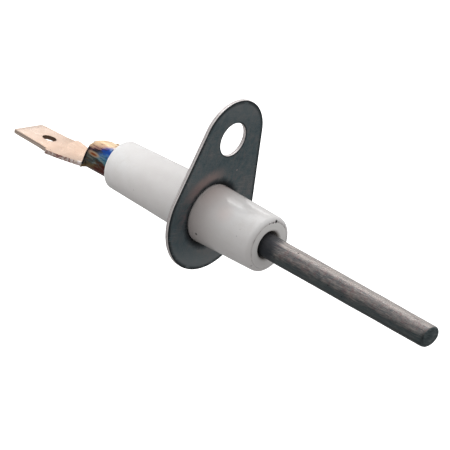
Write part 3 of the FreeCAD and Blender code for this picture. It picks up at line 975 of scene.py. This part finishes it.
def build_flange():
    import bmesh
    rear_r = 3.105

    def ceramic_r(x):
        u = (x - INS_X0) / (-0.20 - INS_X0)
        return rear_r + u * (3.682 - rear_r)

    LIP, WALL, GAP, COL = 0.62, 0.46, 0.02, FLG[0][0]
    NO, NH, NL = 240, 72, 120
    verts, faces = [], []
    warp = wobble(31, 0.012, 6, (0.25, 0.7), (0, 0))

    def bend(x, y, z):
        """The stamped sheet isn't perfectly flat."""
        k = min(1.0, max(0.0, (math.hypot(y, z) - 4.6) / 2.0))
        return x + k * (warp(y, 0.3) * 0.6 + warp(z * 0.8 + 5, 1.1) * 0.6
                        ) - 0.015 * k

    def ring_outline(x, inset, jitter=0.0, seed=0):
        ids = []
        jw = wobble(seed + 50, jitter, 9, (0, 0), (5, 40))
        for i in range(NO):
            y, z = outline_point(i / NO, inset)
            if jitter:
                e = jw(0, 2 * math.pi * i / NO)
                l = math.hypot(y, z)
                y, z = y * (1 + e / l), z * (1 + e / l)
            ids.append(len(verts))
            verts.append((bend(x, y, z), y, z))
        return ids

    def ring_circle(x, r, cz, n, flat=True):
        ids = []
        for i in range(n):
            a = 2 * math.pi * i / n
            y, z = r * math.cos(a), cz + r * math.sin(a)
            ids.append(len(verts))
            verts.append((bend(x, y, z) if flat else x, y, z))
        return ids

    def strip(a, b):
        n = len(a)
        for i in range(n):
            j = (i + 1) % n
            faces.append((a[i], a[j], b[j], b[i]))

    # outline: front roll-over, sheared wall, rear burr edge
    er = 0.11
    o = []
    o.append(ring_outline(0.0, 1.05))
    o.append(ring_outline(0.0, 0.55))
    o.append(ring_outline(0.0, 0.26))
    for k in range(0, 5):
        a = math.pi / 2 * k / 4
        o.append(ring_outline(-er + er * math.cos(a), er - er * math.sin(a),
                              0.004, 1))
    o.append(ring_outline(-0.24, 0.0, 0.006, 2))
    o.append(ring_outline(-0.27, 0.018, 0.012, 3))
    o.append(ring_outline(-0.38, 0.024, 0.014, 4))
    o.append(ring_outline(-FL_T + 0.03, 0.02, 0.010, 5))
    o.append(ring_outline(-FL_T, 0.05, 0.006, 5))
    o.append(ring_outline(-FL_T, 0.30))
    o.append(ring_outline(-FL_T, 1.05))
    for a, b in zip(o, o[1:]):
        strip(a, b)
    # screw hole
    h = [ring_circle(0.0, SCREW_R + 0.62, FL_PITCH, NH),
         ring_circle(0.0, SCREW_R + 0.22, FL_PITCH, NH)]
    for k in range(0, 5):
        a = math.pi / 2 * k / 4
        h.append(ring_circle(-er + er * math.cos(a),
                             SCREW_R + er - er * math.sin(a), FL_PITCH, NH))
    h.append(ring_circle(-0.26, SCREW_R, FL_PITCH, NH))
    h.append(ring_circle(-0.30, SCREW_R + 0.02, FL_PITCH, NH))
    h.append(ring_circle(-FL_T + 0.03, SCREW_R + 0.03, FL_PITCH, NH))
    h.append(ring_circle(-FL_T, SCREW_R + 0.06, FL_PITCH, NH))
    h.append(ring_circle(-FL_T, SCREW_R + 0.5, FL_PITCH, NH))
    for a, b in zip(h, h[1:]):
        strip(b, a)
    # lip and collar
    r0 = ceramic_r(-LIP) + GAP
    r1 = ceramic_r(COL) + GAP
    rc = r0 + LIP
    lip = [(0.0, 5.2), (0.0, rc + 0.45), (-0.004, rc + 0.16)]
    for k in range(0, 11):
        a = math.pi / 2 * k / 10
        lip.append((-LIP + LIP * math.cos(a), rc - LIP * math.sin(a)))
    lip += [(-1.1, ceramic_r(-1.1) + GAP), (-1.6, ceramic_r(-1.6) + GAP),
            (COL + 0.05, r1), (COL, r1 + 0.05),
            (COL, r1 + WALL - 0.07), (COL + 0.07, r1 + WALL),
            (-1.5, r0 + WALL - 0.02), (-1.0, r0 + WALL)]
    for k in range(0, 7):
        a = math.pi / 2 * k / 6
        lip.append((-FL_T - 0.22 + 0.22 * math.sin(a),
                    r0 + WALL + 0.22 - 0.22 * math.cos(a)))
    lip += [(-FL_T, r0 + WALL + 0.6), (-FL_T, 5.2)]
    jl = wobble(77, 0.02, 8, (0, 0), (2, 11))
    L = []
    for i, (x, r) in enumerate(lip):
        ids = []
        for k in range(NL):
            a = 2 * math.pi * k / NL
            rr = r
            xx = x
            if COL - 0.01 <= x <= COL + 0.08:
                xx = x + abs(jl(0, a))           # trimmed end isn't even
            ids.append(len(verts))
            y, z = rr * math.cos(a), rr * math.sin(a)
            verts.append((bend(xx, y, z), y, z))
        L.append(ids)
    for a, b in zip(L, L[1:]):
        strip(b, a)

    bm = bmesh.new()
    bv = [bm.verts.new(Vector(v) * MM) for v in verts]
    bm.verts.ensure_lookup_table()
    for f in faces:
        bm.faces.new([bv[i] for i in f])

    def fill(loops):
        edges = []
        for ids in loops:
            n = len(ids)
            for i in range(n):
                a, b = bv[ids[i]], bv[ids[(i + 1) % n]]
                e = bm.edges.get((a, b))
                edges.append(e)
        before = set(bm.faces)
        bmesh.ops.triangle_fill(bm, use_beauty=True, use_dissolve=False,
                                edges=edges)
        return [f for f in bm.faces if f not in before]

    fill([o[0], h[0], L[0]])
    fill([o[-1], h[-1], L[-1]])
    bmesh.ops.recalc_face_normals(bm, faces=bm.faces)
    me = bpy.data.meshes.new("stamped_flange")
    bm.to_mesh(me)
    bm.free()
    ob = bpy.data.objects.new("stamped_flange", me)
    SCENE.collection.objects.link(ob)
    for p in me.polygons:
        p.use_smooth = True
    sharp_by_angle(ob, 42)
    ob.data.materials.append(mat_flange())
    place(ob, "mounting_flange")
    return ob


# ---------------------------------------------------------------------------
# the terminal: blade, neck and crimp barrel out of one strip
# ---------------------------------------------------------------------------
T_MID_Z = -1.755            # middle of the strip
T_THICK = 0.48
R_MID = 1.76
FOOT = 1.00                 # half of the barrel's flat foot


def lerp_table(tab, x):
    if x <= tab[0][0]:
        return tab[0][1]
    for (a, p), (b, q) in zip(tab, tab[1:]):
        if x <= b:
            return p + (q - p) * (x - a) / (b - a)
    return tab[-1][1]


def smooth(t):
    t = min(1.0, max(0.0, t))
    return t * t * (3 - 2 * t)


def build_terminal():
    import bmesh
    half_tab = [(TAB_X0, 2.38), (TAB_X0 + 0.10, 2.45), (TAB_X0 + 0.30, 2.49),
                (TAB_X0 + 0.6, 2.50), (-24.92, 2.60), (-24.82, 2.64),
                (-24.74, 2.84), (-24.62, 2.98), (-24.45, 3.01),
                (-24.1, 2.96), (-22.4, 2.58), (-19.9, 2.10), (-19.60, 2.05),
                (-19.42, 2.03)]
    roll_tab = [(TAB_X0, 4.4), (-26.0, 6.2), (-24.7, 8.4), (-22.5, 7.0),
                (-20.8, 3.4), (-19.9, 1.4), (-19.5, 0.0)]
    HX, HR, HS = -26.75, 0.93, 1.60
    inner = [-HS + 0.4 * i for i in range(9)]        # fixed lines across
    over = [0.35, 0.70, 0.90, 1.0]                   # shares of the margin

    def cross(x, j):
        """y of column j at x, on the flat strip."""
        hw = lerp_table(half_tab, x)
        m = len(over)
        if j < m:
            return -(HS + (hw - HS) * over[m - 1 - j])
        if j < m + 9:
            return inner[j - m]
        return HS + (hw - HS) * over[j - m - 9]

    ncol = 9 + 2 * len(over)
    rag = wobble(91, 0.028, 9, (3, 14), (0, 0))

    def blade_point(x, y):
        a = math.radians(lerp_table(roll_tab, x))
        hw = lerp_table(half_tab, x)
        # the sheared edges of the neck are ragged
        if abs(y) > hw - 0.01 and -24.5 < x < -19.7:
            y += math.copysign(1, y) * rag(x, 0)
        z = T_MID_Z
        return (x, y * math.cos(a), z + y * math.sin(a))

    mid, quads = [], []
    # rows along the strip
    xs = [TAB_X0, TAB_X0 + 0.05, TAB_X0 + 0.12, TAB_X0 + 0.22, TAB_X0 + 0.34,
          TAB_X0 + 0.5, -29.4, -28.9]
    hole_rows = [HX - HS + 0.4 * i for i in range(9)]
    xs += hole_rows
    xs += [-25.02, -24.92, -24.87, -24.82, -24.78, -24.74, -24.68, -24.62,
           -24.53, -24.45, -24.3, -24.1, -23.85]
    x = -23.6
    while x < -19.95:
        xs.append(round(x, 3))
        x += 0.2
    xs += [-19.9, -19.75, -19.6, -19.5, -19.42]
    grid = []
    i0 = xs.index(hole_rows[0])
    for i, x in enumerate(xs):
        row = []
        for j in range(ncol):
            inside_hole = (i0 < i < i0 + 8) and (len(over) < j < len(over) + 8)
            if inside_hole:
                row.append(None)
                continue
            row.append(len(mid))
            mid.append(blade_point(x, cross(x, j)))
        grid.append(row)
    for i in range(len(xs) - 1):
        for j in range(ncol - 1):
            q = (grid[i][j], grid[i + 1][j], grid[i + 1][j + 1],
                 grid[i][j + 1])
            inh = (i0 <= i < i0 + 8) and (len(over) <= j < len(over) + 8)
            if inh or None in q:
                continue
            quads.append(q)
    # square-to-round rings about the latching hole
    m = len(over)
    sq = []
    for k in range(8):
        sq.append(grid[i0 + k][m])
    for k in range(8):
        sq.append(grid[i0 + 8][m + k])
    for k in range(8):
        sq.append(grid[i0 + 8 - k][m + 8])
    for k in range(8):
        sq.append(grid[i0][m + 8 - k])
    prev = sq
    flat_sq = []
    for k in range(8):
        flat_sq.append((HX - HS + 0.4 * k, -HS))
    for k in range(8):
        flat_sq.append((HX + HS, -HS + 0.4 * k))
    for k in range(8):
        flat_sq.append((HX + HS - 0.4 * k, HS))
    for k in range(8):
        flat_sq.append((HX - HS, HS - 0.4 * k))
    for f in (0.45, 0.85, 1.0):
        cur = []
        for k, (px, py) in enumerate(flat_sq):
            a = math.atan2(py, px - HX)
            cx, cy = HX + HR * math.cos(a), 0.86 * HR * math.sin(a)
            qx, qy = px + (cx - px) * f, py + (cy - py) * f
            cur.append(len(mid))
            mid.append(blade_point(qx, qy))
        for k in range(32):
            k2 = (k + 1) % 32
            quads.append((prev[k], prev[k2], cur[k2], cur[k]))
        prev = cur

    # barrel: columns by developed width u, rows from the wing's end edge to
    # the front end
    umax = R_MID * (math.pi - 0.055)
    us = [-umax, -5.0, -4.6, -4.2, -3.8, -3.4, -3.1, -2.85, -2.65, -2.48,
          -2.32, -2.18]
    floor_j = list(range(ncol))
    x_join = xs[-1]
    floor_u = [cross(x_join, j) for j in floor_j]
    all_u = us + floor_u + [-u for u in reversed(us)]
    n_w = len(us)
    # end edge of the near and the far wing, by angle over the side
    near = [(2.03, -19.42), (2.3, -19.42), (2.8, -19.40), (3.4, -19.36),
            (3.75, -19.32), (3.95, -19.20), (4.15, -19.00), (4.45, -18.75),
            (4.80, -18.35), (5.15, -17.85), (5.45, -17.40)]
    far_ = [(2.03, -19.42), (2.18, -19.38), (2.5, -19.25), (2.9, -18.95),
            (3.3, -18.55), (3.8, -18.05), (4.3, -17.55), (4.8, -17.15),
            (5.45, -16.85)]

    def x_start(u):
        if abs(u) <= 2.03:
            return x_join
        return lerp_table(near if u < 0 else far_, abs(u))

    def section(x, u):
        w = smooth((x + 19.42) / 0.40)
        # final: the upper half is round on the rod, the lower half keeps a
        # flat foot with rounded corners
        f = u / R_MID
        rad = R_MID
        if abs(f) < math.pi / 2:
            q, cc = abs(f), FOOT
            rc = R_MID - cc
            if math.tan(q) <= cc / R_MID:
                rad = R_MID / math.cos(q)
            elif math.tan(math.pi / 2 - q) <= cc / R_MID:
                rad = R_MID / math.sin(q)
            else:
                d = cc * math.sqrt(2)
                g = q - math.pi / 4
                rad = d * math.cos(g) + math.sqrt(
                    max(0.0, rc * rc - (d * math.sin(g)) ** 2))
        ry, rz = rad * math.sin(f), -rad * math.cos(f)
        # square: flat floor, then a wall
        c = 1.80
        sy_ = math.copysign(1, u)
        au = abs(u)
        rb = 0.22
        turn = rb * math.pi / 2
        if au <= c - rb:
            qy, qz = u, T_MID_Z
        elif au <= c - rb + turn:
            t = (au - (c - rb)) / rb
            qy = sy_ * (c - rb + rb * math.sin(t))
            qz = T_MID_Z + rb - rb * math.cos(t)
        else:
            qy = sy_ * c
            qz = T_MID_Z + rb + (au - (c - rb + turn))
        # the floor keeps flat for a while at the neck
        return (x, qy + (ry - qy) * w, qz + (rz - qz) * w)

    def flat_neck(x, u):
        return (x, u, T_MID_Z)

    NR = 26
    bgrid = []
    for i in range(NR + 1):
        t = i / NR
        row = []
        for j, u in enumerate(all_u):
            is_floor = n_w <= j < n_w + ncol
            if i == 0 and is_floor:
                row.append(grid[-1][j - n_w])
                continue
            x0 = x_start(u)
            x = x0 + (TAB_X1 - x0) * (t ** 1.25)
            p = section(x, u)
            if is_floor:
                # leave the blade flat, then turn the sides up
                q = flat_neck(x, u)
                k = smooth((x - x_join) / 0.34)
                p = tuple(q[c] + (p[c] - q[c]) * k for c in range(3))
            row.append(len(mid))
            mid.append(p)
        bgrid.append(row)
    for i in range(NR):
        for j in range(len(all_u) - 1):
            quads.append((bgrid[i][j], bgrid[i + 1][j], bgrid[i + 1][j + 1],
                          bgrid[i][j + 1]))

    # solid from the middle surface
    bm = bmesh.new()
    bv = [bm.verts.new(Vector(v)) for v in mid]
    for q in quads:
        bm.faces.new([bv[i] for i in q])
    bmesh.ops.recalc_face_normals(bm, faces=bm.faces)
    bm.faces.ensure_lookup_table()
    # point the normals outward (down, on the blade)
    probe = min(bm.faces, key=lambda f: (f.calc_center_median() -
                                         Vector((-29, 0, T_MID_Z))).length)
    if probe.normal.z > 0:
        bmesh.ops.reverse_faces(bm, faces=bm.faces)
    bm.normal_update()
    bm.verts.index_update()
    top, bot = [], []
    for v in bm.verts:
        nn = v.normal
        c = sum(f.normal.dot(nn) for f in v.link_faces) / len(v.link_faces)
        k = 1 / max(0.6, c)
        half = T_THICK / 2 + 0.02 * smooth((-19.6 - v.co.x) / 0.5)
        # lead-in bevel at the blade's tip
        if v.co.x < TAB_X0 + 0.45:
            half -= 0.05 * (1 - (v.co.x - TAB_X0) / 0.45)
        bot.append(v.co + nn * half * k)
        top.append(v.co - nn * half * k)
    nv = len(bm.verts)
    out_v = [tuple(p) for p in bot] + [tuple(p) for p in top]
    out_f = []
    for f in bm.faces:
        ids = [v.index for v in f.verts]
        out_f.append(tuple(ids))
        out_f.append(tuple(nv + i for i in reversed(ids)))
    for e in bm.edges:
        if len(e.link_faces) == 1:
            l = e.link_loops[0]
            a, b = l.vert.index, l.link_loop_next.vert.index
            out_f.append((b, a, nv + a, nv + b))
    bm.free()
    ob = make_mesh("crimp_terminal", out_v, out_f)
    fix_normals(ob)
    bev = ob.modifiers.new("edge_wear", "BEVEL")
    bev.width = 0.045 * MM
    bev.segments = 2
    bev.limit_method = "ANGLE"
    bev.angle_limit = math.radians(50)
    bev.use_clamp_overlap = True
    bev.harden_normals = False
    ob.data.materials.append(mat_terminal())
    place(ob, "terminal_tab")
    return ob


# ---------------------------------------------------------------------------
# cement and braze
# ---------------------------------------------------------------------------
def build_cement():
    lo, hi = node_box("bore_cement")
    ro, ri = 1.742, 1.515
    w = wobble(61, 0.16, 8, (0, 0), (2, 13))
    w2 = wobble(62, 0.05, 8, (2, 8), (3, 17))
    x0, x1 = lo[0], hi[0]
    rm = (ro + ri) / 2
    prof = [(x0, ri), (x0 - 0.0, rm)] + [(x0, ro)] + \
        divide((x0, ro), (x1, ro), 24) + [(x1, rm), (x1, ri)] + \
        divide((x1, ri), (x0, ri), 24)[:-1]

    def dx(x, a, r):
        if x < x0 + 0.01:
            return abs(w(0, a)) + (0.03 if r == rm else 0.08) + \
                abs(w2(r, a)) * 0.4
        if x > x1 - 0.01:
            return -abs(w(1, a))
        return 0.0

    ob = lathe("cement_fill", prof, 96, closed=True, dx=dx)
    ob.data.materials.append(mat_cement())
    place(ob, "bore_cement")


def build_braze():
    lo, hi = node_box("braze_bead")
    r = hi[2]
    x_hi, x_lo = hi[0], lo[0]
    h = x_hi - x_lo
    prof = [(x_hi, 0.0), (x_hi, r * 0.6), (x_hi, r * 0.985)]
    for k in range(0, 15):
        a = math.pi / 2 * k / 15
        prof.append((x_hi - 0.03 - (h - 0.03) * math.sin(a) ** 0.9,
                     r * math.cos(a) ** 0.75))
    prof.append((x_lo, 0.0))
    w = wobble(71, 0.05, 9, (1, 6), (2, 7))
    w2 = wobble(72, 0.045, 9, (1, 6), (2, 6))

    def dr(x, a, rr):
        return -abs(w(x, a)) if rr > 0.2 else 0.0

    def dx(x, a, rr):
        return abs(w2(rr * 4, a)) if x < x_hi - 0.05 else 0.0

    ob = lathe("braze_cap", prof, 72, dr=dr, dx=dx)
    ob.data.materials.append(mat_braze())
    place(ob, "braze_bead")


build_rod()
build_insulator()
build_flange()
build_terminal()
build_cement()
build_braze()

# ---------------------------------------------------------------------------
# camera
# ---------------------------------------------------------------------------
RIGHT = Vector((0.7134, 0.6425, 0.2798)).normalized()
UP = Vector((-0.3922, 0.0352, 0.9192))
UP = (UP - RIGHT * UP.dot(RIGHT)).normalized()
BACK = RIGHT.cross(UP)
DIST = 2.40
AIM = RIGHT * (1.68 * MM) - UP * (1.37 * MM)

cam_data = bpy.data.cameras.new("camera")
cam = bpy.data.objects.new("camera", cam_data)
SCENE.collection.objects.link(cam)
cam_data.sensor_width = 36.0
cam_data.lens = 36.0 * DIST / 0.0540
cam_data.clip_start = 0.01
cam_data.clip_end = 60.0
cam_data.dof.use_dof = False
pos = AIM + BACK * DIST
cam.matrix_world = Matrix((
    (RIGHT.x, UP.x, BACK.x, pos.x),
    (RIGHT.y, UP.y, BACK.y, pos.y),
    (RIGHT.z, UP.z, BACK.z, pos.z),
    (0, 0, 0, 1)))
SCENE.camera = cam

# ---------------------------------------------------------------------------
# light and floor
# ---------------------------------------------------------------------------
SCENE.view_settings.view_transform = "Standard"
SCENE.view_settings.look = "None"
SCENE.view_settings.exposure = 0.0
SCENE.view_settings.gamma = 1.0


def softbox(name, direction, dist, size, watts, colour=(1, 1, 1), aim=None):
    data = bpy.data.lights.new(name, "AREA")
    data.shape = "RECTANGLE"
    data.size, data.size_y = size
    data.energy = watts
    data.color = colour
    ob = bpy.data.objects.new(name, data)
    SCENE.collection.objects.link(ob)
    d = Vector(direction).normalized()
    ob.location = (aim or Vector((0, 0, 0))) + d * dist
    ob.rotation_euler = d.to_track_quat("Z", "Y").to_euler()
    ob.visible_camera = False
    return ob


# a broad box overhead, two small windows behind it, and a weak fill
softbox("overhead", (-0.35, -0.05, 1.0), 0.42, (0.34, 0.26), 0.30)
softbox("window_a", (-0.575, 0.10, 0.81), 0.50, (0.040, 0.034), 0.026)
softbox("window_b", (-0.58, 0.64, 0.50), 0.50, (0.045, 0.120), 0.026)
softbox("fill", (-0.45, -1.0, 0.30), 0.60, (0.30, 0.30), 0.06)
# a low card beside the rear of the insulator
card = softbox("card", (-0.72, -0.62, 0.36), 0.042, (0.016, 0.016), 0.0036,
               aim=Vector((-0.0040, 0, 0)))
card.visible_glossy = False


def sky():
    """Soft room light: dim below, bright above and behind the part."""
    world = bpy.data.worlds.new("studio")
    SCENE.world = world
    world.use_nodes = True
    t = world.node_tree
    t.nodes.clear()
    out = t.nodes.new("ShaderNodeOutputWorld")
    bg = t.nodes.new("ShaderNodeBackground")
    tc = t.nodes.new("ShaderNodeTexCoord")
    # plain white behind the part
    white = t.nodes.new("ShaderNodeBackground")
    white.inputs["Color"].default_value = (1, 1, 1, 1)
    white.inputs["Strength"].default_value = 1.0
    path = t.nodes.new("ShaderNodeLightPath")
    pick = t.nodes.new("ShaderNodeMixShader")
    t.links.new(path.outputs["Is Camera Ray"], pick.inputs[0])
    t.links.new(bg.outputs[0], pick.inputs[1])
    t.links.new(white.outputs[0], pick.inputs[2])
    t.links.new(pick.outputs[0], out.inputs[0])

    def dot(v):
        n = t.nodes.new("ShaderNodeVectorMath")
        n.operation = "DOT_PRODUCT"
        t.links.new(tc.outputs["Generated"], n.inputs[0])
        n.inputs[1].default_value = Vector(v).normalized()
        return n.outputs["Value"]

    def step(v, lo, hi, p, q):
        n = t.nodes.new("ShaderNodeMapRange")
        n.interpolation_type = "SMOOTHSTEP"
        t.links.new(v, n.inputs["Value"])
        n.inputs["From Min"].default_value = lo
        n.inputs["From Max"].default_value = hi
        n.inputs["To Min"].default_value = p
        n.inputs["To Max"].default_value = q
        return n.outputs[0]

    def op(kind, a, b):
        n = t.nodes.new("ShaderNodeMath")
        n.operation = kind
        t.links.new(a, n.inputs[0])
        t.links.new(b, n.inputs[1])
        return n.outputs[0]

    up = dot((0, 0, 1))
    back = dot((-0.60, 0.80, 0.0))
    v = step(up, -0.20, 0.85, 0.36, 0.80)
    v = op("ADD", v, op("MULTIPLY", step(back, 0.1, 0.9, 0.0, 0.26),
                        step(up, -0.25, 0.20, 0.0, 1.0)))
    ramp = t.nodes.new("ShaderNodeValToRGB")
    t.links.new(step(up, -0.6, 0.5, 0.0, 1.0), ramp.inputs[0])
    el = ramp.color_ramp.elements
    el[0].color = (1.0, 0.985, 0.975, 1)
    el[1].color = (1.0, 0.995, 0.992, 1)
    t.links.new(ramp.outputs[0], bg.inputs["Color"])
    t.links.new(v, bg.inputs["Strength"])


sky()

import bmesh

# floor: pale, well below the part, which floats as in a catalogue cut-out
fz = cad_box[0][2] - 0.030
bm = bmesh.new()
bmesh.ops.create_grid(bm, x_segments=24, y_segments=24, size=12.0)
me = bpy.data.meshes.new("floor")
bm.to_mesh(me)
bm.free()
floor = bpy.data.objects.new("floor", me)
floor.location = (0, 0, fz)
SCENE.collection.objects.link(floor)
fm = bpy.data.materials.new("floor")
fm.use_nodes = True
ft = fm.node_tree
fb = ft.nodes["Principled BSDF"]
fb.inputs["Base Color"].default_value = (0.86, 0.86, 0.86, 1)
fb.inputs["Roughness"].default_value = 0.9
fb.inputs["Emission Color"].default_value = (1, 1, 1, 1)
fb.inputs["Emission Strength"].default_value = 0.80
floor.data.materials.append(fm)
floor.visible_diffuse = False
floor.visible_glossy = False
floor.visible_shadow = False
